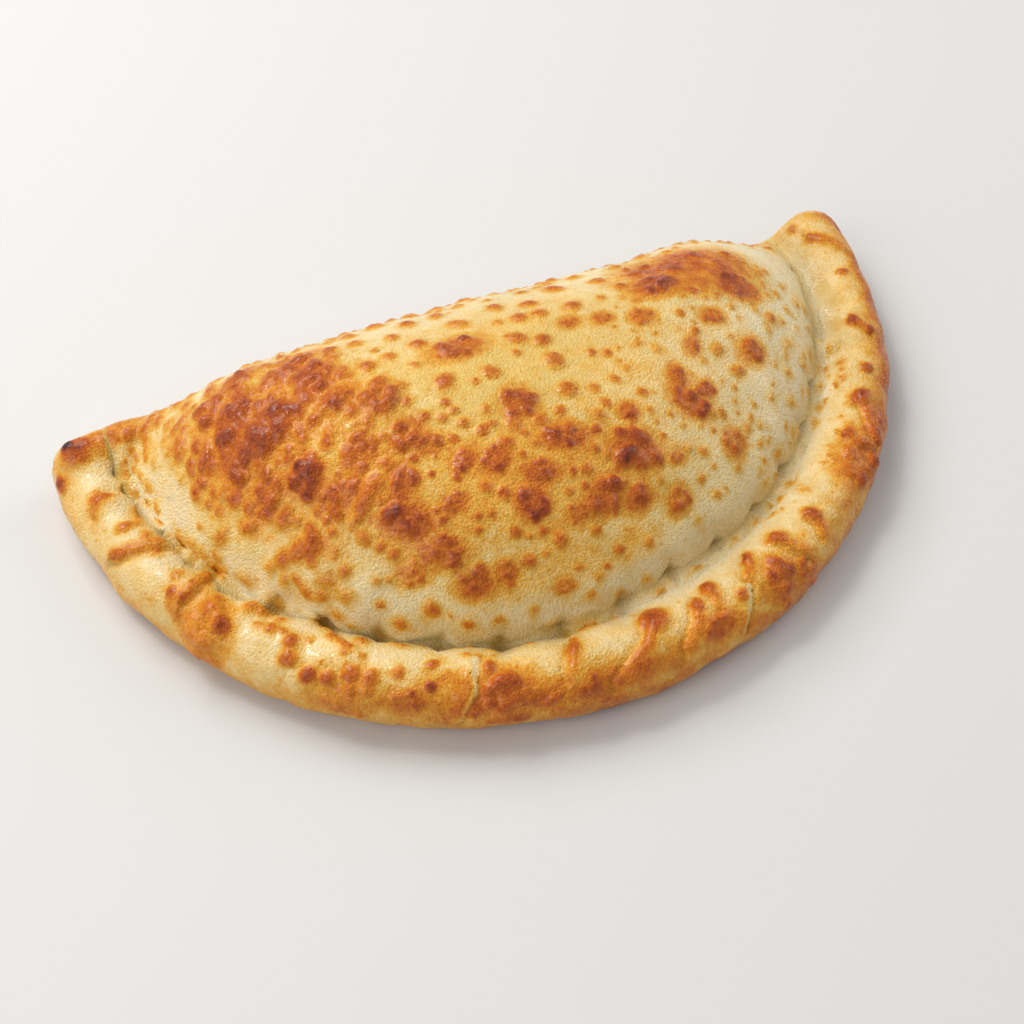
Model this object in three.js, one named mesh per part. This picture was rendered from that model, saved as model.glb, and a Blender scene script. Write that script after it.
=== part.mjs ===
// A calzone: a round of pizza dough folded in half over its filling, with the two edges rolled
// together into a thick crimped rim along the curved side. It is baked in one piece, so it is one
// solid. Millimetres, +Z up, +X along the fold, -Y towards the rim.

import * as THREE from 'three';
import { LoftGeometry } from 'three/addons/geometries/LoftGeometry.js';

const { clamp, degToRad, lerp, smoothstep } = THREE.MathUtils;

// The plan: an arc about the middle of the fold, fullest left of the front, and closed by a
// nearly straight fold behind.
const ROUND_RADIUS = 136;
const LEFT_LENGTHENING = 0.8;
const LEFT_FULLNESS = 4.4;
const FRONT_FULLNESS = 4.5;
const FOLD_BULGE = 6;
const FOLD_SQUARENESS = { left: 3.5, right: 3 };

// The dome over the filling. It rises from the rim in front and from the fold behind, and it is
// lower and rounder towards the right.
const DOME_BASE = 3;
const DOME_HEIGHT = { left: 52, right: 47 };
const DOME_ROUNDNESS = { left: 2.05, right: 1.75 };
const CORNER_SQUARENESS = { left: 2.2, right: 2.4 };
const FRONT_RISE = 62;
const BACK_RISE = 56;
const DOME_OVERLAP = 1.2;
const RIDGE_HALF = 56;
const RIDGE_SETBACK = 52;

// The rolled rim, an oval in section that stands on the table and meets the dome in a crease.
const RIM_WIDTH = 21;
const RIM_HEIGHT = 19.5;
const BELLY_HEIGHT = 9.5;
const FOOT_INSET = 6.5;
const VALLEY_TIGHTNESS = 9;

// The rim stops at the fold in a blunt nose. On the right a notch sets it apart from the dome.
// On the left a lip runs on from it along the top of the fold and dies out.
const NOSE_ROUNDING = 9;
const NOTCH_AT = 104;
const NOTCH_WIDTH = 16;
const NOTCH_CUT = 4;
const LIP_WIDTH = 17;
const LIP_HEIGHT = 23;
const LIP_FROM = 82;
const LIP_TO = 112;

// Finger presses that pinch the rim shut. They come closer together towards the left tip.
const PRESSES = 22;
const FIRST_PRESS = degToRad( 187 );
const PRESS_SWEEP = degToRad( 162 );
const PRESS_CROWDING = 1.3;
const PRESS_HALF_WIDTH = degToRad( 2.2 );
const PRESS_DEPTH = 3;
const PRESS_REACH = 5;

// How finely the surface is cut: sections round the loaf, and rings up each section.
const SECTIONS = 200;
const FOOT_RINGS = 3;
const RIM_RINGS = 8;
const DOME_RINGS = 11;

const bell = ( distance, width ) => Math.exp( - ( ( distance / width ) ** 2 ) );

const pressAngles = Array.from( { length: PRESSES }, ( _, k ) =>
	FIRST_PRESS + PRESS_SWEEP * ( k / ( PRESSES - 1 ) ) ** PRESS_CROWDING );

// How firmly the crease is pressed at an angle about the fold's middle, from 0 to 1.
function press( angle ) {

	return Math.min( 1, pressAngles.reduce( ( sum, at ) => sum + bell( angle - at, PRESS_HALF_WIDTH ), 0 ) );

}

function arcRadius( angle ) {

	return ROUND_RADIUS - LEFT_LENGTHENING * Math.cos( angle )
		+ LEFT_FULLNESS * Math.sin( 2 * angle ) + FRONT_FULLNESS * Math.sin( angle ) ** 2;

}

// How far the fold stands behind the middle of the arc.
function foldLine( x ) {

	const squareness = x < 0 ? FOLD_SQUARENESS.left : FOLD_SQUARENESS.right;
	const across = Math.min( 1, Math.abs( x ) / arcRadius( x < 0 ? Math.PI : 0 ) );
	const bulge = FOLD_BULGE * ( 1 - across ** squareness ) ** ( 1 / squareness );
	return bulge - NOTCH_CUT * bell( x - NOTCH_AT, NOTCH_WIDTH );

}

// The point of the outline at an angle about the middle of the arc.
function outline( angle ) {

	const behind = Math.sin( angle ) >= 0;
	const radius = arcRadius( behind ? ( Math.cos( angle ) < 0 ? Math.PI : 0 ) : angle );
	const x = radius * Math.cos( angle );
	return new THREE.Vector2( x, behind ? foldLine( x ) : radius * Math.sin( angle ) );

}

// Distances of a point of the plan in from the arc and in from the fold.
const fromArc = ( x, y ) => arcRadius( Math.atan2( - Math.abs( y ), x ) ) - Math.hypot( x, y );
const fromFold = ( x, y ) => foldLine( x ) - y;

// The dome's height over a point of the plan.
function domeHeight( x, y ) {

	const rightward = smoothstep( x, - RIDGE_HALF, RIDGE_HALF );
	const [ height, roundness, squareness ] = [ DOME_HEIGHT, DOME_ROUNDNESS, CORNER_SQUARENESS ]
		.map( ( { left, right } ) => lerp( left, right, rightward ) );
	const front = 1 - clamp( ( fromArc( x, y ) - RIM_WIDTH + DOME_OVERLAP ) / FRONT_RISE, 0, 1 );
	const back = 1 - clamp( ( fromFold( x, y ) + DOME_OVERLAP ) / BACK_RISE, 0, 1 );
	const out = 1 - ( 1 - front ** squareness ) * ( 1 - back ** squareness );
	const rise = ( 1 - out ** ( roundness / squareness ) ) ** ( 1 / roundness );
	return lerp( DOME_BASE, height, rise );

}

// Half an oval, from 0 at its edges to 1 in its middle.
const oval = ( side ) => Math.sqrt( 1 - clamp( side, - 1, 1 ) ** 2 );

// The height of the rim, and of the lip that runs on from it, over a point of the plan.
function rimHeight( x, y ) {

	const arc = fromArc( x, y );
	const fold = fromFold( x, y );
	const acrossRim = 2 * arc / RIM_WIDTH - 1;
	const acrossLip = 2 * fold / LIP_WIDTH - 1;
	const rim = oval( acrossRim ) * oval( 1 - clamp( fold / NOSE_ROUNDING, 0, 1 ) );
	const lip = ( acrossLip < 0 ? oval( acrossLip ) : 1 - smoothstep( acrossLip, 0, 2 ) )
		* oval( 1 - clamp( arc / NOSE_ROUNDING, 0, 1 ) ) * smoothstep( - x, LIP_FROM, LIP_TO );
	return BELLY_HEIGHT + Math.max( ( RIM_HEIGHT - BELLY_HEIGHT ) * rim, ( LIP_HEIGHT - BELLY_HEIGHT ) * lip );

}

// The higher of the two where they are far apart, with a soft valley where they cross.
const surfaceHeight = ( x, y ) =>
	[ domeHeight( x, y ), rimHeight( x, y ) ]
		.reduce( ( sum, height ) => sum + height ** VALLEY_TIGHTNESS, 0 ) ** ( 1 / VALLEY_TIGHTNESS );

// How far in along a section the crease lies.
function creaseInset( at, run ) {

	let [ low, high ] = [ 0, run / 2 ];

	for ( let k = 0; k < 20; k ++ ) {

		const middle = ( low + high ) / 2;
		const { x, y } = at( middle );
		if ( fromArc( x, y ) < RIM_WIDTH ) low = middle;
		else high = middle;

	}

	return low;

}

// How far in a section is cut: close together as far as the crease, then wider over the dome.
function insets( reach, run ) {

	const rim = Array.from( { length: RIM_RINGS }, ( _, k ) =>
		reach / 2 * ( 1 - Math.cos( k / ( RIM_RINGS - 0.5 ) * Math.PI ) ) );
	const dome = Array.from( { length: DOME_RINGS }, ( _, k ) =>
		lerp( reach, run, 1 - Math.cos( ( k + 0.15 ) / ( DOME_RINGS - 0.85 ) * Math.PI / 2 ) ) );
	return [ ...rim, ...dome ];

}

// A section from the foot up to the ridge. Sections in front and behind share their last point.
function section( angle ) {

	const edge = outline( angle );
	const top = new THREE.Vector2( RIDGE_HALF * Math.cos( angle ), - RIDGE_SETBACK );
	const run = edge.distanceTo( top );
	const pressed = edge.y < 0 ? PRESS_DEPTH * press( angle ) : 0;
	const at = ( inset ) => new THREE.Vector2().lerpVectors( edge, top, inset / run );

	const foot = Array.from( { length: FOOT_RINGS }, ( _, k ) => {

		const turn = k / FOOT_RINGS * Math.PI / 2;
		const { x, y } = at( FOOT_INSET * ( 1 - Math.sin( turn ) ) );
		return new THREE.Vector3( x, y, BELLY_HEIGHT * ( 1 - Math.cos( turn ) ) );

	} );

	const reach = Math.max( NOSE_ROUNDING, creaseInset( at, run ) );
	const upper = insets( reach, run ).map( ( inset ) => {

		const { x, y } = at( inset );
		const height = surfaceHeight( x, y );
		const dent = pressed * bell( fromArc( x, y ) - RIM_WIDTH, PRESS_REACH );
		return new THREE.Vector3( x, y, height - Math.min( height - BELLY_HEIGHT, dent ) );

	} );

	return [ ...foot, ...upper ];

}

// Sections stand side by side all round the loaf; the rings of the loft run across them.
function loafGeometry() {

	const sections = Array.from( { length: SECTIONS }, ( _, k ) => section( k / SECTIONS * 2 * Math.PI ) );
	const rings = sections[ 0 ].map( ( _, ring ) => sections.map( ( points ) => points[ ring ] ) );
	return new LoftGeometry( rings, { capStart: true } );

}

// The origin is the middle of the loaf's box, on the table.
function centred( geometry ) {

	geometry.computeBoundingBox();
	const middle = geometry.boundingBox.getCenter( new THREE.Vector3() );
	return geometry.translate( - middle.x, - middle.y, - geometry.boundingBox.min.z );

}

const crust = new THREE.MeshStandardMaterial( { color: 0xdba55c, roughness: 0.5, metalness: 0 } );
const calzone = new THREE.Mesh( centred( loafGeometry() ), crust );
calzone.name = 'calzone';

const part = new THREE.Group();
part.add( calzone );

export default part;
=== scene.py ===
# %% [markdown]
# A calzone is a round of pizza dough folded in half over its filling. Its two edges are rolled
# together into a thick rim, and the whole thing is baked in a hot oven until it blisters.
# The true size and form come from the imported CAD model, which is loaded first and stays fixed.
# Everything made below only adds what the oven does to the dough: bumps, folds and browning.

import math

import bmesh
import bpy
import numpy as np
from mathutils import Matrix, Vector, noise


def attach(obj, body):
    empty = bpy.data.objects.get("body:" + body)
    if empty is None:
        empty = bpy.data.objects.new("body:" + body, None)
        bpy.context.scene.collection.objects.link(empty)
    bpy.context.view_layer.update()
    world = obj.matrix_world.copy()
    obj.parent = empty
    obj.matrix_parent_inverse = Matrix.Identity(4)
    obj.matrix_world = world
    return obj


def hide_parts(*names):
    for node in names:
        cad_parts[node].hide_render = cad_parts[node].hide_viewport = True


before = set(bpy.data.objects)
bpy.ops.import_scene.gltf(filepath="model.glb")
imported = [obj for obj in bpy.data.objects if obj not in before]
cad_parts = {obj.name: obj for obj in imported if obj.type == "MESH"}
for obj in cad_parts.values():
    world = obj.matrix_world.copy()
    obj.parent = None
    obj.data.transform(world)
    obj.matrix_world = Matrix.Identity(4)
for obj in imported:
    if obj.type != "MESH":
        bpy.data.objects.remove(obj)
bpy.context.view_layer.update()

# %% [markdown]
# A dish is looked at from the side of the table, so the camera stands in front on the left and
# looks down at about 50 degrees. A lens a little longer than normal keeps the loaf from looking
# stretched. Depth of field stays off, so that every blister is sharp.

# %% Camera
scene = bpy.context.scene


def link(name, data):
    """Puts new data into the scene as an object at the origin."""
    made = bpy.data.objects.new(name, data)
    scene.collection.objects.link(made)
    return made


camera = link("camera", bpy.data.cameras.new("camera"))
camera.data.lens = 53.2
camera.data.sensor_width = 36
camera.location = (-0.1455, -0.2527, 0.3489)
camera.rotation_euler = [math.radians(turn) for turn in (39.49, -0.72, -25.97)]
scene.camera = camera
print("camera height in mm:", round(1000 * camera.location.z))

# %% [markdown]
# Materials are trees of nodes. Building one by hand takes three lines a node: make it, set its
# values, wire it up. A small helper does all three, and takes either a number or another node's
# output for each input, so that a tree can be read from top to bottom like a recipe.

# %% A helper for material nodes
def add_node(tree, kind, sockets=None, **settings):
    """Adds a node. A socket's value is a constant, or the output that feeds it."""
    made = tree.nodes.new(kind)
    for name, value in settings.items():
        setattr(made, name, value)
    for socket, value in (sockets or {}).items():
        if isinstance(value, bpy.types.NodeSocket):
            tree.links.new(value, made.inputs[socket])
        else:
            made.inputs[socket].default_value = value
    return made


def start_material(name):
    """An empty material: its node tree and its Principled shader, wired to the output."""
    made = bpy.data.materials.new(name)
    made.use_nodes = True
    made.node_tree.nodes.clear()
    shader = add_node(made.node_tree, "ShaderNodeBsdfPrincipled")
    add_node(made.node_tree, "ShaderNodeOutputMaterial", {"Surface": shader.outputs["BSDF"]})
    return made, made.node_tree, shader


def tone(red, green, blue):
    """A colour as it is mixed on screen, 0 to 255, turned into the linear values nodes use."""
    screen = [channel / 255 for channel in (red, green, blue)]
    return [c / 12.92 if c < 0.04045 else ((c + 0.055) / 1.055) ** 2.4 for c in screen] + [1]


# %% [markdown]
# The setting is plain, so that nothing competes with the food: a pale matt floor that fades into
# an equally pale surround. One big soft light hangs high behind the loaf and rakes over the
# blisters, as a window does, so that each has a lit side and a shaded side. Weaker ones at
# both sides open the shadows under the rim, while the front stays a little darker. A fourth
# light is small and close to the big one. It adds hardly any light, but it puts the sharp glints
# on the oily skin that a broad light can't give.

# %% Floor and lights
FLOOR_SIZE = 6


def pale_floor():
    made, _, shader = start_material("pale_floor")
    shader.inputs["Base Color"].default_value = tone(212, 211, 209)
    shader.inputs["Roughness"].default_value = 0.7
    return made


floor_mesh = bpy.data.meshes.new("floor")
floor_bm = bmesh.new()
bmesh.ops.create_grid(floor_bm, x_segments=1, y_segments=1, size=FLOOR_SIZE / 2)
floor_bm.to_mesh(floor_mesh)
floor_bm.free()
floor_mesh.materials.append(pale_floor())
link("floor", floor_mesh)


def soft_light(name, place, size, power, colour):
    """A square light that faces the middle of the loaf. Its size is in metres, its power in
    watts."""
    data = bpy.data.lights.new(name, "AREA")
    data.size, data.energy, data.color = size, power, colour
    made = link(name, data)
    made.location = place
    made.rotation_euler = (Vector((0, 0, 0.02)) - Vector(place)).to_track_quat("-Z", "Y").to_euler()


soft_light("window_light", (-0.30, 0.85, 1.05), 0.9, 14.0, (1, 0.985, 0.96))
soft_light("left_fill", (-1.05, -0.30, 0.75), 0.9, 6.5, (1, 0.98, 0.95))
soft_light("right_fill", (1.10, 0.05, 0.70), 0.8, 4.3, (1, 0.98, 0.95))
soft_light("glint_light", (-0.35, 0.55, 1.10), 0.14, 1.5, (1, 0.98, 0.94))

scene.world = bpy.data.worlds.new("surround")
scene.world.use_nodes = True
surround = scene.world.node_tree.nodes["Background"]
surround.inputs["Color"].default_value = (0.95, 0.97, 1, 1)
surround.inputs["Strength"].default_value = 0.36
scene.view_settings.view_transform = "Standard"

# %% [markdown]
# The dough body starts as a copy of the CAD solid. That solid is a shell of long flat triangles,
# fine for collision but too coarse to carry a blister. It is rounded with two levels of
# subdivision, then voxel-remeshed. The voxel remesh cuts the surface into even squares smaller
# than the smallest bump, as modelling clay has no grain, so that any detail can be pushed into
# it anywhere.

# %% Dough body, evenly meshed
VOXEL = 0.00054
ROUNDING_LEVELS = 2


def fine_copy(node_name):
    """The CAD node's shape as an even, fine, closed mesh."""
    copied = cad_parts[node_name].data.copy()
    bm = bmesh.new()
    bm.from_mesh(copied)
    bmesh.ops.remove_doubles(bm, verts=bm.verts, dist=1e-5)
    bmesh.ops.join_triangles(
        bm, faces=bm.faces, angle_face_threshold=math.radians(40),
        angle_shape_threshold=math.radians(60))
    bm.to_mesh(copied)
    bm.free()
    rough = link("dough_rough", copied)
    rounding = rough.modifiers.new("rounding", "SUBSURF")
    rounding.levels = rounding.render_levels = ROUNDING_LEVELS
    remesh = rough.modifiers.new("even", "REMESH")
    remesh.mode = "VOXEL"
    remesh.voxel_size = VOXEL
    fine = bpy.data.meshes.new_from_object(
        rough.evaluated_get(bpy.context.evaluated_depsgraph_get()))
    bpy.data.objects.remove(rough)
    return fine


body_mesh = fine_copy("calzone")
print("even mesh:", len(body_mesh.vertices), "points")

# %% [markdown]
# The underside is flat and is never sculpted, so it doesn't need thousands of squares. The
# lowest slice is cut away for now, and the open edge is set down on the table. The crust above
# is then relaxed a little, which takes out the last trace of the CAD facets and the voxels.

# %% Cut off the base and relax the crust
BASE_CUT = 0.0005
RELAX_ROUNDS = 8

body_bm = bmesh.new()
body_bm.from_mesh(body_mesh)
bmesh.ops.bisect_plane(
    body_bm, geom=body_bm.verts[:] + body_bm.edges[:] + body_bm.faces[:], dist=1e-7,
    plane_co=(0, 0, BASE_CUT), plane_no=(0, 0, 1), clear_inner=True)
for _ in range(RELAX_ROUNDS):
    bmesh.ops.smooth_vert(
        body_bm, verts=[v for v in body_bm.verts if not v.is_boundary], factor=0.5,
        use_axis_x=True, use_axis_y=True, use_axis_z=True)
for vert in body_bm.verts:
    if vert.is_boundary:
        vert.co.z = 0
body_bm.to_mesh(body_mesh)
body_bm.free()
print("crust to sculpt:", len(body_mesh.vertices), "points")

# %% [markdown]
# The crust is sculpted with numbers instead of a brush. Three lists hold one value for each
# point of the mesh: how far the dough is lifted along the way it faces, how brown the oven has
# made it, and how oily it is. Each later step adds to them, and the mesh itself is moved only
# once, at the end, so that every bump grows from the smooth dough and not from other bumps.

# %% The lists that are sculpted and painted
MM = 0.001


def read_points(mesh, what):
    values = np.empty(3 * len(mesh.vertices))
    mesh.vertices.foreach_get(what, values)
    return values.reshape(-1, 3)


points = read_points(body_mesh, "co") / MM
facing = read_points(body_mesh, "normal")
upper = np.flatnonzero(facing[:, 2] > -0.05)
lift = np.zeros(len(points))
toast = np.zeros(len(points))
oil = np.zeros(len(points))


def ease(low, high, values):
    """0 below low, 1 above high, and a soft step between."""
    t = np.clip((values - low) / (high - low), 0, 1)
    return t * t * (3 - 2 * t)


def wobble(size, seed=0):
    """Smooth noise from about -1 to 1 at each point, with lumps of that size in mm."""
    shift = Vector((seed, 2 * seed, -seed))
    return np.array([noise.noise(Vector(p) / size + shift) for p in points])


ragged = wobble(2.2, 5) + 0.5 * wobble(1.1, 6)
print("noise runs from", round(ragged.min(), 2), "to", round(ragged.max(), 2))

# %% [markdown]
# The plan of the loaf is an arc about the middle of the fold, so places on the rim are easiest
# to give as an angle about that middle and a distance in from the edge. The arc's few numbers are
# the same as in the CAD part. The finger presses that shut the rim come closer together towards
# the left tip.

# %% The plan of the loaf
ARC_MIDDLE = (0.8, 67.2)
ROUND_RADIUS = 136
RIM_WIDTH = 21
PRESSES = 22
FIRST_PRESS, PRESS_SWEEP, PRESS_CROWDING = math.radians(187), math.radians(162), 1.3

across, behind = points[:, 0] - ARC_MIDDLE[0], points[:, 1] - ARC_MIDDLE[1]
angle = np.arctan2(-np.abs(behind), across) % (2 * math.pi)
arc_radius = (ROUND_RADIUS - 0.8 * np.cos(angle) + 4.4 * np.sin(2 * angle)
              + 4.5 * np.sin(angle) ** 2)
inset = arc_radius - np.hypot(across, behind)
press_angles = FIRST_PRESS + PRESS_SWEEP * (np.arange(PRESSES) / (PRESSES - 1)) ** PRESS_CROWDING
from_press = np.min(np.abs(angle[:, None] - press_angles), axis=1) * (arc_radius - RIM_WIDTH)
in_front = ease(4, -8, behind)
print("points on the rim:", int((inset < RIM_WIDTH).sum()))

# %% [markdown]
# The brushes come next. A dab is round or oval, and lies on the crust: its distances are measured
# along the surface, so a dab on a steep flank isn't stretched. A stroke follows a short route
# over the crust. The edge of every dab is made ragged by noise, because nothing baked is a
# perfect circle.

# %% Brushes
def place_on_crust(x, y):
    """The point of the upper crust over a place of the plan, and the way it faces."""
    at = upper[np.argmin((points[upper, 0] - x) ** 2 + (points[upper, 1] - y) ** 2)]
    return points[at], facing[at]


def reach_of(middle, reach):
    return np.flatnonzero((np.abs(points - middle) < reach).all(axis=1))


def dab_area(x, y, size, stretch=1, turn=0, rough=0.16):
    """Points near a dab, and how far out each one is: 1 at the dab's edge."""
    middle, normal = place_on_crust(x, y)
    close = reach_of(middle, 2.3 * size * max(stretch, 1))
    along = np.array([math.cos(math.radians(turn)), math.sin(math.radians(turn)), 0])
    along -= normal * along.dot(normal)
    along /= np.linalg.norm(along)
    offset = points[close] - middle
    out = np.sqrt((offset @ along / stretch) ** 2 + (offset @ np.cross(normal, along)) ** 2
                  + (offset @ normal) ** 2) / size
    return close, out + rough * ragged[close]


def stroke_area(route, width, reach, rough=0.12):
    """Points near a route over the crust: how far out each one is, 1 at the stroke's edge,
    which side of the route it is on, and how far along."""
    stops = [np.array(stop, float) for stop in route]
    steps = [a + (b - a) * t for a, b in zip(stops, stops[1:]) for t in np.linspace(0, 1, 12)]
    trail, normals = (np.array(column) for column in zip(*(place_on_crust(*s) for s in steps)))
    close = reach_of(trail.mean(axis=0), np.ptp(trail, axis=0).max() / 2 + reach)
    gaps = np.linalg.norm(points[close, None] - trail, axis=2)
    nearest = gaps.argmin(axis=1)
    sideways = np.cross(normals, np.gradient(trail, axis=0))[nearest]
    side = np.sign(((points[close] - trail[nearest]) * sideways).sum(axis=1))
    out = gaps.min(axis=1) / width + rough * ragged[close]
    return close, out, side, nearest / (len(trail) - 1)


def bake(where, level):
    """Browning from neighbours runs together: the browner wins, and is browned a bit more."""
    toast[where] = (toast[where] ** 4 + np.maximum(level, 0) ** 4) ** 0.25


print("upper crust:", len(upper), "points")

# %% [markdown]
# The rim is two layers of dough rolled over each other, so it isn't a smooth tube. Slow waves
# run over the whole loaf, and shorter ones over the rim. Along the crease the dome sinks under
# the rim. The crease doesn't follow the edge exactly: it swings out at the left tip, in along
# the front right, and wanders a little everywhere. Each finger press leaves a dimple in it and
# pulls a shallow groove over the inner shoulder of the rim. Between the presses the dough puffs
# up just inside the crease.

# %% Rolled rim and its crease
SLOW_WAVE, SHORT_WAVE, RIM_WAVE = 0.9, 0.45, 0.7
CREASE_DEPTH, CREASE_HALF_WIDTH = 1.5, 0.8
CREASE_IN, CREASE_WANDER = 0.5, 0.8
OUT_AT_LEFT, IN_AT_RIGHT = 3.5, 2.8
DIMPLE_DEPTH, DIMPLE_LENGTH, DIMPLE_WIDTH = 1.6, 1.9, 1.7
SHOULDER_GROOVE = 0.35
PUFF, PUFF_INSIDE, PUFF_WIDTH = 0.7, 5, 3.5


def bell(distance, width):
    """1 where the distance is 0, about a third at the width, and nearly 0 at twice that."""
    return np.exp(-(distance / width) ** 2)


lift += SLOW_WAVE * wobble(26, 1) + SHORT_WAVE * wobble(11, 2)
lift += RIM_WAVE * wobble(8, 12) * ease(RIM_WIDTH + 4, RIM_WIDTH - 4, inset)

on_left = ease(-80, -112, points[:, 0])
on_right = ease(-45, 15, points[:, 0]) * ease(128, 95, points[:, 0])
crease_at = (RIM_WIDTH + CREASE_IN - OUT_AT_LEFT * on_left + IN_AT_RIGHT * on_right
             + CREASE_WANDER * wobble(7, 3))
crease = bell(inset - crease_at, CREASE_HALF_WIDTH) * in_front
lift -= CREASE_DEPTH * crease * (0.45 + 0.55 * bell(from_press, 5))

pressed = bell(from_press, DIMPLE_LENGTH)
dimple = pressed * bell(inset - crease_at, DIMPLE_WIDTH) * in_front
lift -= DIMPLE_DEPTH * dimple * (1 + 0.15 * on_right)
shoulder = ease(6, 15, inset) * ease(22, 18, inset) * in_front
lift += SHOULDER_GROOVE * shoulder * (0.6 - 1.4 * bell(from_press, 2.8))
lift += PUFF * bell(inset - crease_at - PUFF_INSIDE, PUFF_WIDTH) * in_front * (1 - 0.5 * pressed)
print("deepest dimple in mm:", round(-lift.min(), 1))

# %% [markdown]
# The CAD solid has a valley with pressed dents where the crease was first laid out. Where the
# crease has moved away from it, the valley would be left behind as a second, empty one. So the
# old valley is filled, most where the crease is furthest from it. A valley can't be filled along
# the way the dough faces, because its two walls face each other and would cross. This list lifts
# straight up instead, and is kept apart from the others until the end.

# %% Fill the valley that the crease has left
VALLEY_FILL, RIGHT_FILL, LEFT_FILL, PRESS_FILL = 0.8, 2.4, 2.6, 1.5
CORNER_MIDDLE, CORNER_RADIUS, CORNER_FILL = (-101, 61), 9, 1.4

from_valley = inset - RIM_WIDTH
fill = (VALLEY_FILL + RIGHT_FILL * on_right) * bell(from_valley, 2.5)
fill += LEFT_FILL * on_left * ease(64, 52, points[:, 1]) * bell(from_valley, 2.9)
fill += PRESS_FILL * bell(from_press, 4.4) * bell(from_valley, 5)
fill *= in_front
fill += CORNER_FILL * bell(np.hypot(*(points[:, :2] - CORNER_MIDDLE).T), CORNER_RADIUS)
print("most filled in mm:", round(fill.max(), 1))

# %% [markdown]
# Where the roll was twisted over itself it left short slanting ridges, like the strands of a
# rope. Their crests stand proud and catch the heat first, so they bake orange. Each one is a
# stroke from the top of the rim down its outer side, with a groove on its left where the next
# fold tucks in.

# %% Slanting folds of the rim
FOLD_SPREAD, FOLD_STEEP = 3.2, 0.8
FOLD_HALO = 0.24
STROKE_REACH = 12


def ridge(route, width, height, brown, groove):
    """A fold whose one flank is steep and whose other one runs out into the dough."""
    close, out, side, along = stroke_area(route, width, STROKE_REACH)
    ends = ease(1.35, 0.7, out) * (1 - 0.4 * along)
    spread = np.where(side > 0, FOLD_SPREAD, FOLD_STEEP)
    lift[close] += height * bell(out, spread) * (1 - 0.3 * along)
    lift[close] -= groove * bell(out - 1.6, 0.5) * (side < 0)
    bake(close, brown * ends)
    bake(close, FOLD_HALO * ease(3.4, 1.0, out))


LEFT_RIDGES = [
    [(-128, 24), (-122, 22), (-116, 21)],
    [(-115, 1), (-111, 4), (-106, 8)],
    [(-98, -11), (-96, -10), (-93, -9)],
    [(-82, -33), (-84, -27), (-85, -21)],
    [(-124, 44), (-127, 43), (-129, 41)],
]
FRONT_RIDGES = [
    [(-27, -56), (-29, -60), (-32, -65)],
    [(8, -61), (6, -65), (1, -70)],
    [(39, -51), (42, -54), (45, -57)],
    [(79, -26), (82, -30), (86, -31)],
]
TADPOLES = [
    [(-5, -61), (-10, -66), (-16, -69), (-21, -71)],
    [(92, -15), (91, -21), (88, -28)],
    [(53, -47), (54, -50), (53, -54)],
    [(29, -53), (27, -57), (25, -60)],
    [(14, -57), (14, -60), (14, -63)],
    [(119, 54), (122, 50), (126, 45)],
    [(109, 14), (110, 12), (112, 9)],
]
for route in LEFT_RIDGES:
    ridge(route, 1.35, 1.3, 0.48, groove=0.6)
for route in FRONT_RIDGES:
    ridge(route, 1.4, 1.4, 0.50, groove=0.6)
for route in TADPOLES:
    ridge(route, 1.4, 1.2, 0.54, groove=0.5)
print("folds:", len(LEFT_RIDGES) + len(FRONT_RIDGES) + len(TADPOLES))

# %% [markdown]
# In two places the end of the rolled dough lies flat over the roll as a thin flap. The edge of a
# flap is a pale line with a step beside it. It is made like a ridge, but narrower, left unbaked,
# and with the dough on one side pulled down.

# %% Flaps that overlap the rim
PALE_SEAMS = [
    [(-53, -51), (-56, -56), (-57, -59), (-62, -61)],
    [(24, -61), (23, -64), (21, -67), (18, -70)],
]
SEAM_WIDTH, SEAM_STEP = 0.7, 0.5
seam_pale = np.zeros(len(points))
for route in PALE_SEAMS:
    close, out, side, along = stroke_area(route, SEAM_WIDTH, STROKE_REACH, rough=0.2)
    lift[close] += (1 - 0.5 * along) * bell(out, np.where(side > 0, 0.9, 6.0))
    lift[close] -= SEAM_STEP * bell(out - 2.0, 0.9) * (side > 0)
    seam_pale[close] = np.maximum(seam_pale[close], (1 - 0.4 * along) * ease(1.4, 0.5, out))
print("flaps:", len(PALE_SEAMS))

# %% [markdown]
# A blister is a gas bubble just under the skin. It rises first, so it bakes first: a dark cap, an
# orange flank and a thin golden halo on pale dough. The bigger ones have run together into
# patches of several bubbles. The dab that lifts the dough also browns it, which keeps the colour
# on top of the bump, where the oven puts it.

# %% Blisters and patches of blisters
FLANK_BROWN, CAP_BROWN, BLISTER_HALO = 0.74, 0.32, 0.25
PATCH_BROWN, PATCH_HALO, PATCH_SWELL = 0.66, 0.28, 0.10
dice = np.random.default_rng(41)


def blister(x, y, size, brown, stretch=1, turn=0, height=0.36):
    """One bubble. Its size is its radius in mm, its height a share of its size."""
    close, out = dab_area(x, y, size, stretch, turn, rough=0.05)
    lift[close] += height * size * np.clip(1 - (out / 1.08) ** 2, 0, 1)
    bake(close, brown * (FLANK_BROWN * ease(1.18, 0.66, out) + CAP_BROWN * ease(0.7, 0.0, out)))
    bake(close, BLISTER_HALO * ease(1.6, 0.95, out))


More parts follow.
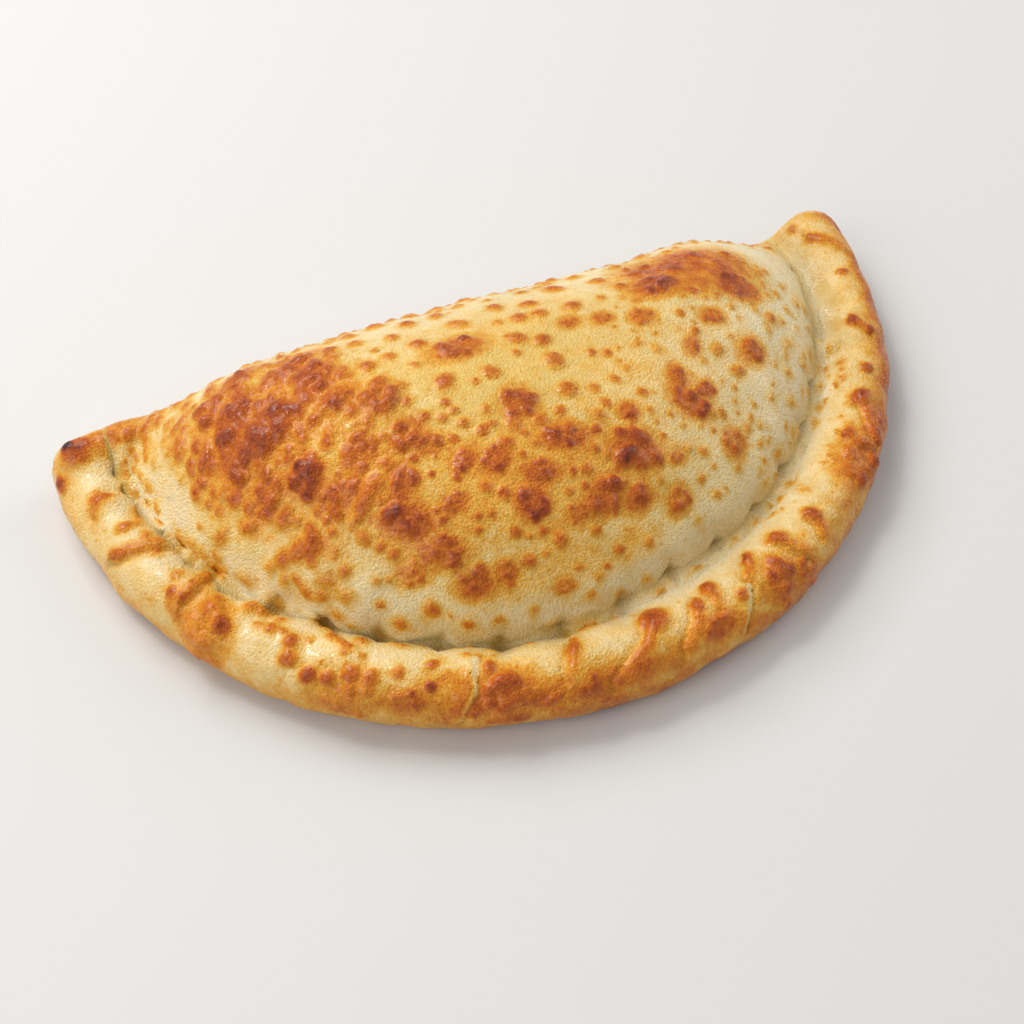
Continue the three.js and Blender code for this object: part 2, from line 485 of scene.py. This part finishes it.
def patch(x, y, size, brown, bubbles, stretch=1, turn=0):
    """A swollen browned area with bubbles run together on it."""
    close, out = dab_area(x, y, size, stretch, turn, rough=0.12)
    lift[close] += PATCH_SWELL * size * np.clip(1 - out ** 2, 0, 1)
    bake(close, PATCH_BROWN * brown * ease(1.35, 0.60, out))
    bake(close, PATCH_HALO * ease(1.8, 1.1, out))
    spin = math.radians(turn)
    for _ in range(bubbles):
        away, around = size * 0.8 * math.sqrt(dice.random()), dice.uniform(0, 2 * math.pi)
        u, v = away * stretch * math.cos(around), away * math.sin(around)
        blister(
            x + u * math.cos(spin) - v * math.sin(spin),
            y + u * math.sin(spin) + v * math.cos(spin),
            size * dice.uniform(0.26, 0.46), brown * dice.uniform(0.62, 1.0),
            dice.uniform(1, 1.35), dice.uniform(0, 180))


# x, y, size, browning, bubbles, stretch and turn, in mm and degrees
CROWN_PATCHES = [
    (-22, 27, 5.0, 0.74, 7, 1.7, 4), (-16, 1, 5.2, 0.72, 8, 1.15, 80),
    (44, 31, 5.5, 0.78, 8, 1.6, 10), (33, 19, 3.0, 0.66, 4, 1.4, 0),
    (55, 15, 3.0, 0.76, 4, 1.4, -10), (22, 23, 2.6, 0.66, 3, 1.3, 0),
    (12, 25, 2.6, 0.66, 3, 1.3, 20), (62, 3, 4.4, 0.70, 7, 1.1, 30),
    (43, 6, 2.8, 0.68, 3, 1.3, 60), (32, -3, 3.4, 0.72, 4, 1.3, 60),
    (32, -11, 4.6, 0.84, 8, 1.4, -40), (39, -8, 3.2, 0.80, 4, 1.2, 30),
    (9, -21, 6.0, 0.80, 11, 1.25, -25), (41, -23, 4.0, 0.68, 5, 1.1, 40),
    (12, -11, 3.0, 0.76, 4, 1.1, 0),
]
FRONT_PATCHES = [
    (-19, -20, 3.6, 0.76, 5, 1.5, -20), (-9, -13, 4.2, 0.76, 7, 1.7, -15),
    (-25, -26, 4.4, 0.90, 7, 1.1, 60), (-37, -10, 3.2, 0.70, 4, 1.3, 30),
    (-29, -13, 3.6, 0.74, 5, 1.5, 35), (-5, -30, 4.6, 0.78, 7, 1.5, 25),
    (4, -33, 3.8, 0.76, 5, 1.3, 20), (16, -35, 3.8, 0.70, 5, 1.1, 60),
    (20, -25, 2.2, 0.66, 3, 1.2, 0), (-57, -17, 5.0, 0.82, 9, 1.5, -35),
    (-54, -8, 4.2, 0.74, 6, 1.3, 60), (-44, -19, 3.0, 0.66, 4, 1.3, 0),
    (-52, -27, 4.2, 0.72, 6, 1.6, -30), (-46, -36, 3.8, 0.80, 6, 1.4, -20),
    (-60, -27, 3.4, 0.60, 4, 1.3, 0), (-38, -37, 3.2, 0.66, 4, 1.3, 10),
    (-24, -44, 2.4, 0.60, 3, 1.1, 0), (-15, -32, 2.4, 0.62, 3, 1.2, 0),
]
SHOULDER_PATCHES = [
    (-91, 45, 5.0, 0.66, 8, 1.4, 30), (-86, 36, 6.0, 0.74, 10, 1.6, 50),
    (-78, 25, 6.5, 0.78, 12, 1.5, 20), (-90, 23, 5.5, 0.70, 9, 1.3, 60),
    (-76, 7, 5.0, 0.84, 9, 1.2, 60), (-70, -2, 4.5, 0.66, 7, 1.5, 10),
    (-80, 51, 4.5, 0.64, 7, 1.9, 25), (-66, 44, 5.0, 0.66, 8, 2.0, 30),
    (-62, 34, 5.0, 0.70, 8, 1.6, 50), (-60, 23, 4.6, 0.60, 7, 1.4, 30),
    (-50, 17, 5.0, 0.68, 8, 1.4, 10), (-48, 4, 4.6, 0.68, 7, 1.3, 40),
    (-60, 5, 4.6, 0.62, 7, 1.4, 60), (-86, 10, 4.6, 0.58, 7, 1.3, 20),
    (-97, 30, 4.4, 0.60, 6, 1.5, 60), (-104, 40, 3.6, 0.54, 5, 1.6, 40),
    (-43, -2, 3.4, 0.64, 5, 1.3, 0), (-93, 7, 2.8, 0.48, 3, 1.2, 0),
    (-80, -8, 2.6, 0.46, 3, 1.2, 0), (-80, -16, 2.4, 0.46, 3, 1.2, 0),
]
for spot in CROWN_PATCHES + FRONT_PATCHES + SHOULDER_PATCHES:
    patch(*spot)
print("patches:", len(CROWN_PATCHES) + len(FRONT_PATCHES) + len(SHOULDER_PATCHES))

# %% [markdown]
# On the rim the bubbles sit at the heads of the folds, and the lowest outer parts, nearest the
# hot stone, are toasted in rough patches. The two little horns at the left tip stick out of the
# loaf, so they are burnt almost black.

# %% Blisters and toasted patches of the rim
# x, y, size, browning, stretch and turn
RIM_BLISTERS = [
    (-5, -60, 4.4, 0.78, 1.1, 60), (92, -15, 3.2, 0.74, 1.2, 20), (101, -5, 2.2, 0.72, 1.1, 0),
    (109, 14, 1.8, 0.66, 1.3, 60), (112, 9, 1.8, 0.72, 1.2, 30), (119, 35, 1.8, 0.64, 1.3, 0),
    (53, -47, 2.8, 0.64, 1.1, 0), (29, -53, 2.1, 0.62, 1.3, 60), (14, -57, 2.6, 0.64, 1.2, 80),
    (21, -63, 1.8, 0.60, 1.2, 60), (-20, -51, 2.8, 0.50, 1.2, 30), (-51, -55, 2.0, 0.66, 1.4, 60),
    (8, -61, 2.2, 0.60, 1.2, 60), (-29, -59, 2.4, 0.58, 1.3, 60), (40, -51, 2.4, 0.62, 1.5, 0),
    (-64, -48, 1.9, 0.62, 1.2, 0), (-67, -53, 1.7, 0.80, 1.1, 0), (-94, -35, 2.4, 0.82, 1.2, 0),
    (-84, -41, 2.4, 0.66, 1.3, 0), (-80, -44, 2.4, 0.68, 1.2, 30), (-95, -25, 2.2, 0.66, 1.3, 60),
    (-97, -29, 2.4, 0.62, 1.2, 0), (-118, 4, 1.9, 0.68, 1.2, 60), (-123, 31, 2.2, 0.50, 1.3, 20),
    (-127, 44, 2.4, 0.54, 1.4, 60), (-90, -38, 2.0, 0.62, 1.3, 0), (-109, -12, 2.6, 0.80, 1.2, 50),
    (39, -51, 1.8, 0.58, 1.2, 0), (80, -26, 2.0, 0.60, 1.3, 30), (-73, -46, 1.8, 0.50, 1.2, 0),
]
# x, y, size, browning, bubbles, stretch and turn
RIM_PATCHES = [
    (-49, -63, 6.5, 0.58, 16, 1.2, 0), (-48, -67, 2.4, 0.80, 3, 1.3, 0),
    (34, -62, 5.0, 0.66, 12, 1.3, 60), (-114, -9, 7.0, 0.38, 14, 1.4, 60),
    (-90, -42, 4.0, 0.40, 6, 1.6, -20), (-84, -46, 4.0, 0.40, 6, 1.5, -20),
    (-74, -53, 3.4, 0.54, 5, 1.6, -20), (-118, 1, 3.0, 0.50, 4, 1.4, 60),
    (11, -68, 3.6, 0.66, 6, 1.5, 20), (-26, -70, 4.0, 0.62, 6, 1.8, 0),
    (78, -35, 6.0, 0.60, 12, 1.7, 40), (90, -26, 4.0, 0.56, 6, 2.0, 60),
    (-103, 8, 2.4, 0.64, 3, 1.2, 0), (-40, -67, 4.0, 0.56, 5, 1.6, 0),
    (-14, -71, 3.0, 0.58, 4, 1.8, 10), (44, -62, 4.0, 0.56, 6, 1.4, 50),
]
for x, y, size, brown, stretch, turn in RIM_BLISTERS:
    blister(x, y, size, brown, stretch, turn, height=0.42)
for spot in RIM_PATCHES:
    patch(*spot)
# x, y, size, browning, stretch, turn and height
HORNS = [
    (-129, 64, 2.0, 0.98, 1.1, 0, 0.5), (-127, 62, 4.6, 0.62, 1.2, 40, 0.2),
    (-134, 57, 2.6, 0.66, 1.2, 60, 0.5),
]
for horn in HORNS:
    blister(*horn)
print("rim:", len(RIM_BLISTERS), "blisters and", len(RIM_PATCHES), "patches")

# %% [markdown]
# Between the listed ones lie hundreds of small blisters. They are scattered by
# seeded chance, so that the loaf is the same every time, and thrown more thickly where the oven
# was hottest. Pure chance looks like a rash, with clumps and gaps. So each blister keeps a share
# of its own size away from the ones before it, and a throw that lands too close is dropped. Each
# area has its own sizes: round and orange over the crown, darker, crowded and drawn out into
# streaks on the left shoulder, hardly more than freckles on the right.

# %% Small blisters by the hundred
taken = [(x, y, size) for x, y, size, *_ in CROWN_PATCHES + FRONT_PATCHES]


def scatter(count, middle, radii, sizes, browns, apart=1.2, streak=1.3, turns=(0, 180)):
    """Small blisters at random over an oval of the plan, thinning out towards its edge. Each
    keeps its distance from the ones before: apart is a share of the two sizes together."""
    for _ in range(count):
        away, around = dice.random() ** 0.6, dice.uniform(0, 2 * math.pi)
        x = middle[0] + radii[0] * away * math.cos(around)
        y = middle[1] + radii[1] * away * math.sin(around)
        size, brown = dice.uniform(*sizes), dice.uniform(*browns)
        stretch, turn = dice.uniform(1, streak), dice.uniform(*turns)
        if all(math.hypot(x - a, y - b) > apart * (size + c) for a, b, c in taken):
            taken.append((x, y, size))
            blister(x, y, size, brown, stretch, turn)


UP_THE_SHOULDER = (20, 80)
scatter(60, (5, 32), (74, 32), (2.2, 3.2), (0.48, 0.62))
scatter(130, (10, 26), (78, 38), (1.4, 2.4), (0.42, 0.58), 1.35)
scatter(60, (-78, 24), (36, 34), (2.0, 3.0), (0.44, 0.60), 0.75, 2.0, UP_THE_SHOULDER)
scatter(230, (-80, 24), (40, 38), (1.2, 2.2), (0.34, 0.52), 0.75, 2.0, UP_THE_SHOULDER)
scatter(120, (-105, 45), (16, 18), (1.3, 2.4), (0.40, 0.52), 0.85, 1.6, UP_THE_SHOULDER)
scatter(70, (-80, -8), (28, 17), (1.4, 2.6), (0.36, 0.52), 0.9)
scatter(40, (-40, -18), (48, 22), (2.0, 2.8), (0.46, 0.60), 1.0)
scatter(150, (-40, -18), (50, 25), (1.2, 2.2), (0.42, 0.58), 0.95)
scatter(260, (-20, -28), (80, 26), (0.8, 1.6), (0.32, 0.50))
scatter(200, (58, 5), (40, 44), (0.7, 1.5), (0.26, 0.42))
scatter(260, (0, 62), (118, 12), (1.0, 2.1), (0.34, 0.56), 1.0)
print("blisters kept apart:", len(taken))
print("points that are browned:", int((toast > 0.3).sum()))

# %% [markdown]
# Under the blisters the whole crust has a slow change of colour. The left shoulder stands highest
# in the oven and is toasted all over, and the right one carries a smooth brown cap. These are
# wide soft dabs that tint the dough and don't lift it. They start from an empty list, and the
# browning of the blisters waits beside it until both are laid over each other.

# %% Slow changes of colour
MOST_BROWN = 1.0
# x, y, radii, browning, turn and raggedness
TINTS = [
    (-78, 26, (44, 33), 0.34, 25), (-66, -2, (32, 18), 0.34, -20),
    (-25, -20, (66, 27), 0.29, -5), (60, 38, (34, 20), 0.52, 0, 0.12),
    (70, 27, (13, 9), 0.62, -20, 0.12), (50, 41, (16, 8), 0.62, 0, 0.12),
    (-12, 5, (92, 56), 0.17, 0), (-116, 63, (17, 7), 0.24, 5),
    (-63, -57, (20, 9), 0.27, -15), (-82, -3, (28, 13), 0.24, -50),
    (-20, -41, (55, 9), 0.22, 0),
]


def tint(x, y, radii, level, turn=0, rough=0.25, onto=toast):
    """A wide soft dab of browning, or of whatever else the list it goes onto stands for."""
    close, out = dab_area(x, y, radii[1], radii[0] / radii[1], turn, rough)
    onto[close] = np.maximum(onto[close], level * ease(1.15, 0.35, out))


mottle = wobble(6, 8) + 0.6 * wobble(3, 9)
blistered = np.where(points[:, 0] < -120, toast, MOST_BROWN * np.tanh(toast / MOST_BROWN))
toast[:] = 0
for spot in TINTS:
    tint(*spot)
toast *= 1 + 0.35 * mottle
print("tints:", len(TINTS))

# %% [markdown]
# The rim and the back edge brown by where they are, not in spots, so they are tinted by
# distance. The outer foot of the rim is golden from the hot stone, most on the right and least
# on the left. The tint is stronger and weaker in blotches of a few millimetres. Only then is the
# browning of the blisters laid on top.

# %% Browning of the rim and the back
on_rim = ease(RIM_WIDTH + 1, RIM_WIDTH - 5, inset) * in_front
golden_rim = ease(11, 3, inset) * in_front
rim_foot = ease(15, 6, points[:, 2]) * ease(RIM_WIDTH, 4, inset)
leftward = ease(-30, -80, points[:, 0])
left_rim = ease(-70, -100, points[:, 0]) * ease(RIM_WIDTH + 1, RIM_WIDTH - 6, inset)
right_rim = ease(70, 100, points[:, 0]) * ease(9, 3, inset)
back_edge = ease(50, 68, points[:, 1]) * ease(42, 25, points[:, 2])

toast += 0.10 * on_rim * (1 - 0.7 * leftward) * (1 + 0.9 * mottle)
toast += 0.20 * golden_rim * (1 - 0.5 * leftward) * (1 + 0.5 * mottle) + 0.14 * rim_foot
toast += 0.26 * ease(3.0, 0.6, points[:, 2])
toast += 0.02 * left_rim + 0.14 * right_rim + 0.05 * on_rim * ease(60, 100, points[:, 0])
toast += 0.16 * back_edge * (1 + 0.6 * mottle)
toast[:] = np.clip(np.maximum(toast, blistered + 0.35 * toast), 0, 1.2)
print("mean browning:", round(float(toast[upper].mean()), 2))

# %% [markdown]
# Some dough stays pale: two strips of the dome beside the rim on the left, the edges of the
# flaps, and the bottom of the crease. The crown and the crease glisten with oil that has soaked
# through. Round the crease, in a band beside it and on the inner slope of the rim at the right,
# shade is painted into the colour as a darker, greener olive, most of all in the dimples.

# %% Pale and oily places, and painted shade
pale = np.zeros(len(points))
tint(-107, 32, (20, 8), 1.0, 70, onto=pale)
tint(-95, -2, (18, 5), 0.8, 127, onto=pale)
toast *= 1 - 0.8 * pale
toast *= 1 - 0.9 * seam_pale
toast *= 1 - 0.55 * crease

on_dome = ease(RIM_WIDTH, RIM_WIDTH + 6, inset)
tint(-18, 14, (46, 24), 1.0, 5, onto=oil)
tint(-50, -45, (60, 12), 0.55, -20, onto=oil)
oil[:] = np.maximum(oil, 0.9 * crease)
oil[:] = np.maximum(oil, 0.26 * on_dome * ease(75, 35, points[:, 0]))
oil *= 1 - 0.9 * pale

# Painted shade: the crease, a band beside it, the right rim's inner slope and the dimples are
# darkened in colour where shade falls.
shade_beside_crease = 0.34 * bell(inset - crease_at, 5) * in_front * ease(-60, 20, points[:, 0])
shaded_inner_slope = 0.6 * ease(12, 18, inset) * ease(RIM_WIDTH + 4, RIM_WIDTH, inset)
shaded_inner_slope *= ease(85, 105, points[:, 0]) * in_front
painted_shade = np.maximum.reduce([crease, shade_beside_crease, shaded_inner_slope, np.minimum(1.6 * dimple, 1.3)])
print("oily points:", int((oil > 0.5).sum()), "damp points:", int((painted_shade > 0.5).sum()))

# %% [markdown]
# Last comes the fine relief that covers everything: dough is never smooth, and its skin is
# pebbled with bubbles a millimetre or two across, higher where it is toasted. Where many bumps
# meet, their sum would make a spike, so the lift levels off softly. Then all the lifts are spent
# at once. Each point moves along the way it faces, and the fill of the valley is added straight
# up. The colour lists are stored on the mesh as attributes, which the material will read.

# %% Fine relief, then move the mesh
PEBBLE_SIZE = 1.7
MOST_LIFT = 2.6


def pebbles(size):
    """Rounded cells, 1 at the middle of each and 0 between them."""
    from_middle = np.array([noise.voronoi(Vector(p) / size)[0][0] for p in points])
    return np.clip(1 - from_middle / 0.75, 0, 1)


browned = np.clip(toast / 0.6, 0, 1)
lift += (0.09 + 0.20 * browned) * pebbles(PEBBLE_SIZE) + (0.05 + 0.06 * browned) * ragged
lift = np.where(lift > 0, MOST_LIFT * np.tanh(lift / MOST_LIFT), lift)
lift *= ease(0.2, 3.5, points[:, 2])
moved = (points + facing * lift[:, None] + np.outer(fill, (0, 0, 1))) * MM
body_mesh.vertices.foreach_set("co", moved.ravel())


def store(name, values):
    """Keeps one number for each point of the mesh, under a name that materials can read."""
    layer = body_mesh.attributes.new(name, "FLOAT", "POINT")
    layer.data.foreach_set("value", values.astype(np.float32))


for name, values in (("toast", toast), ("oil", np.clip(oil, 0, 1)), ("painted_shade", painted_shade)):
    store(name, values)
body_mesh.update()
print("lift in mm:", round(float(lift.min()), 2), "to", round(float(lift.max()), 2))

# %% [markdown]
# Such a fine mesh is needed while sculpting, but it is heavy to keep. Decimation joins points
# where the surface is nearly flat and leaves them where it bends, so the blisters stay crisp
# while the smooth dough between them thins out. A vertex group tells it to go easy on the
# browned skin, because there the colour needs the points too. It carries the attributes along.

# %% Thin out the smooth places
MOST_TRIANGLES = 190000

loaf = link("calzone_loaf", body_mesh)
smooth_dough = loaf.vertex_groups.new(name="smooth_dough")
for level in range(1, 11):
    members = np.flatnonzero(np.round(10 * (1 - browned)) == level)
    smooth_dough.add(members.tolist(), level / 10, "REPLACE")
thinning = loaf.modifiers.new("thinning", "DECIMATE")
thinning.ratio = MOST_TRIANGLES / (2 * len(body_mesh.polygons))
thinning.vertex_group = smooth_dough.name
thinning.vertex_group_factor = 0.6
thinned = bpy.data.meshes.new_from_object(
    loaf.evaluated_get(bpy.context.evaluated_depsgraph_get()))
loaf.modifiers.clear()
loaf.vertex_groups.clear()
thinned.calc_loop_triangles()
print("crust after thinning:", len(thinned.loop_triangles), "triangles")

# %% [markdown]
# Now the loaf is closed again. One sheet of long triangles spans the open edge on the table. It
# has a finish of its own, and the edge round it is marked sharp, so that the smooth shading of
# the crust doesn't bleed over the flat base.

# %% Close the base
final_bm = bmesh.new()
final_bm.from_mesh(thinned)
base_edges = [edge for edge in final_bm.edges if edge.is_boundary]
for vert in {vert for edge in base_edges for vert in edge.verts}:
    vert.co.z = 0
base = bmesh.ops.triangle_fill(
    final_bm, edges=base_edges, use_beauty=True, normal=(0, 0, -1))["geom"]
for face in final_bm.faces:
    face.smooth = True
for face in (item for item in base if isinstance(item, bmesh.types.BMFace)):
    face.material_index = 1
    if face.normal.z > 0:
        face.normal_flip()
for edge in base_edges:
    edge.smooth = False
open_edges = sum(not edge.is_manifold for edge in final_bm.edges)
final_bm.to_mesh(thinned)
final_bm.free()
loaf.data = thinned
loaf_mesh = loaf.data
print("closed loaf:", len(loaf_mesh.polygons), "faces,", open_edges, "open edges")

# %% [markdown]
# The crust material turns browning into colour with a ramp, from raw cream through straw, gold
# and orange to red-brown and char, the order in which dough bakes. Two scales of noise break up
# the painted edges, and tiny freckles fill the pale areas. Over that, oil turns pale dough
# yellow, and painted shade round the crease turns any dough olive brown. The skin is half matt,
# glossier where it is oily, under a thin clear coat. A bump finer than the pebbles of the mesh,
# less than a millimetre across, breaks the shine into glints.

# %% Crust material
BAKING = [
    (0.00, tone(240, 221, 178)),
    (0.12, tone(236, 202, 132)),
    (0.26, tone(228, 168, 60)),
    (0.40, tone(216, 134, 22)),
    (0.55, tone(196, 100, 12)),
    (0.70, tone(164, 70, 12)),
    (0.84, tone(124, 46, 12)),
    (0.94, tone(88, 34, 14)),
    (1.00, tone(46, 24, 18)),
]


# The second colour is the olive of painted shade, laid round the crease and in its dimples.
OILY_DOUGH, PAINTED_SHADE_TONE = tone(233, 198, 98), tone(172, 140, 64)
MOST_OIL_TINT, MOST_PAINTED_SHADE = 0.65, 0.55


def crust():
    made, tree, shader = start_material("baked_crust")
    place = add_node(tree, "ShaderNodeTexCoord").outputs["Object"]

    def stored(name):
        return add_node(tree, "ShaderNodeAttribute", attribute_name=name).outputs["Fac"]

    def mix(share, base, over):
        return add_node(tree, "ShaderNodeMix", {
            "Factor": share, 6: base, 7: over}, data_type="RGBA").outputs[2]

    def mottling(per_metre, detail=3):
        return add_node(tree, "ShaderNodeTexNoise", {
            "Vector": place, "Scale": per_metre, "Detail": detail, "Roughness": 0.6,
        }).outputs["Fac"]

    def rescale(value, low, high, to_low=0, to_high=1):
        return add_node(tree, "ShaderNodeMapRange", {
            "Value": value, "From Min": low, "From Max": high,
            "To Min": to_low, "To Max": to_high}).outputs["Result"]

    def combine(kind, a, b):
        return add_node(tree, "ShaderNodeMath", {0: a, 1: b}, operation=kind).outputs[0]

    toasted, oiled, painted_shading = stored("toast"), stored("oil"), stored("painted_shade")
    fine, medium, broad = mottling(900), mottling(260), mottling(55, 2)
    breakup = combine("ADD", rescale(fine, 0.3, 0.7, -0.07, 0.07),
                      rescale(medium, 0.3, 0.7, -0.05, 0.05))
    strength = rescale(toasted, 0.02, 0.35, 0.35, 1)
    brown = combine("ADD", toasted, combine("MULTIPLY", breakup, strength))

    cells = add_node(tree, "ShaderNodeTexVoronoi", {
        "Vector": place, "Scale": 420, "Randomness": 1}).outputs
    freckles = combine("MULTIPLY", rescale(cells["Distance"], 0.42, 0.12),
                       rescale(cells["Color"], 0.55, 0.95))
    brown = combine("ADD", brown, combine("MULTIPLY", freckles, 0.16))

    ramp = add_node(tree, "ShaderNodeValToRGB", {"Fac": brown})
    stops = ramp.color_ramp.elements
    for _ in BAKING[2:]:
        stops.new(0.5)
    for stop, (at, colour) in zip(stops, BAKING):
        stop.position, stop.color = at, colour

    paleness = rescale(brown, 0.5, 0.0)
    oil_share = combine("MULTIPLY", combine("MULTIPLY", oiled, paleness), MOST_OIL_TINT)
    yellowed = mix(oil_share, ramp.outputs["Color"], OILY_DOUGH)
    # Painted shade: where the stored shade is high, the colour is mixed towards the darker olive.
    tinted = mix(combine("MULTIPLY", painted_shading, MOST_PAINTED_SHADE), yellowed, PAINTED_SHADE_TONE)
    shade = rescale(broad, 0.3, 0.7, 0.94, 1.05)
    colour = add_node(tree, "ShaderNodeHueSaturation", {
        "Color": tinted, "Value": shade}).outputs["Color"]
    tree.links.new(colour, shader.inputs["Base Color"])

    gloss = combine("SUBTRACT", rescale(fine, 0.3, 0.7, 0.40, 0.56),
                    combine("MULTIPLY", oiled, 0.16))
    tree.links.new(gloss, shader.inputs["Roughness"])
    shader.inputs["Specular IOR Level"].default_value = 0.22
    shader.inputs["Coat Weight"].default_value = 0.30
    shader.inputs["Coat Roughness"].default_value = 0.08
    shader.inputs["Subsurface Weight"].default_value = 0.12
    shader.inputs["Subsurface Radius"].default_value = (1.0, 0.45, 0.2)
    shader.inputs["Subsurface Scale"].default_value = 0.002

    skin = add_node(tree, "ShaderNodeTexVoronoi", {
        "Vector": place, "Scale": 1300, "Randomness": 1}).outputs["Distance"]
    height = combine("SUBTRACT", mottling(2200, 2), skin)
    bump = add_node(tree, "ShaderNodeBump", {
        "Height": height, "Strength": 0.9, "Distance": 0.00045}).outputs["Normal"]
    tree.links.new(bump, shader.inputs["Normal"])
    return made


print("baking colours:", len(BAKING))

# %% [markdown]
# The underside lay on the hot stone. It is flat, matt and evenly browned, with darker scorch
# marks where it touched best and a dusting of pale flour left in the hollows. Nothing shows it
# until the part is turned over, but a reusable part should look right from below too.

# %% Underside material
def underside():
    made, tree, shader = start_material("stone_baked_underside")
    place = add_node(tree, "ShaderNodeTexCoord").outputs["Object"]
    scorch = add_node(tree, "ShaderNodeTexNoise", {
        "Vector": place, "Scale": 60, "Detail": 5, "Roughness": 0.6}).outputs["Fac"]
    ramp = add_node(tree, "ShaderNodeValToRGB", {"Fac": scorch})
    stops = ramp.color_ramp.elements
    stops.new(0.5)
    for stop, (at, colour) in zip(stops, [
            (0.32, tone(226, 188, 128)), (0.52, tone(202, 142, 72)), (0.70, tone(128, 72, 36))]):
        stop.position, stop.color = at, colour
    tree.links.new(ramp.outputs["Color"], shader.inputs["Base Color"])
    shader.inputs["Roughness"].default_value = 0.75
    grain = add_node(tree, "ShaderNodeTexNoise", {
        "Vector": place, "Scale": 700, "Detail": 3}).outputs["Fac"]
    bump = add_node(tree, "ShaderNodeBump", {
        "Height": grain, "Strength": 0.4, "Distance": 0.0003}).outputs["Normal"]
    tree.links.new(bump, shader.inputs["Normal"])
    return made


loaf_mesh.materials.clear()
for finish in (crust(), underside()):
    loaf_mesh.materials.append(finish)
print("finishes:", [m.name for m in loaf_mesh.materials])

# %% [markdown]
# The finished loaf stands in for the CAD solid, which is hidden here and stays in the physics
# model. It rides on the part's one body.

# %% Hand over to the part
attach(loaf, "root")
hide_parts("calzone")
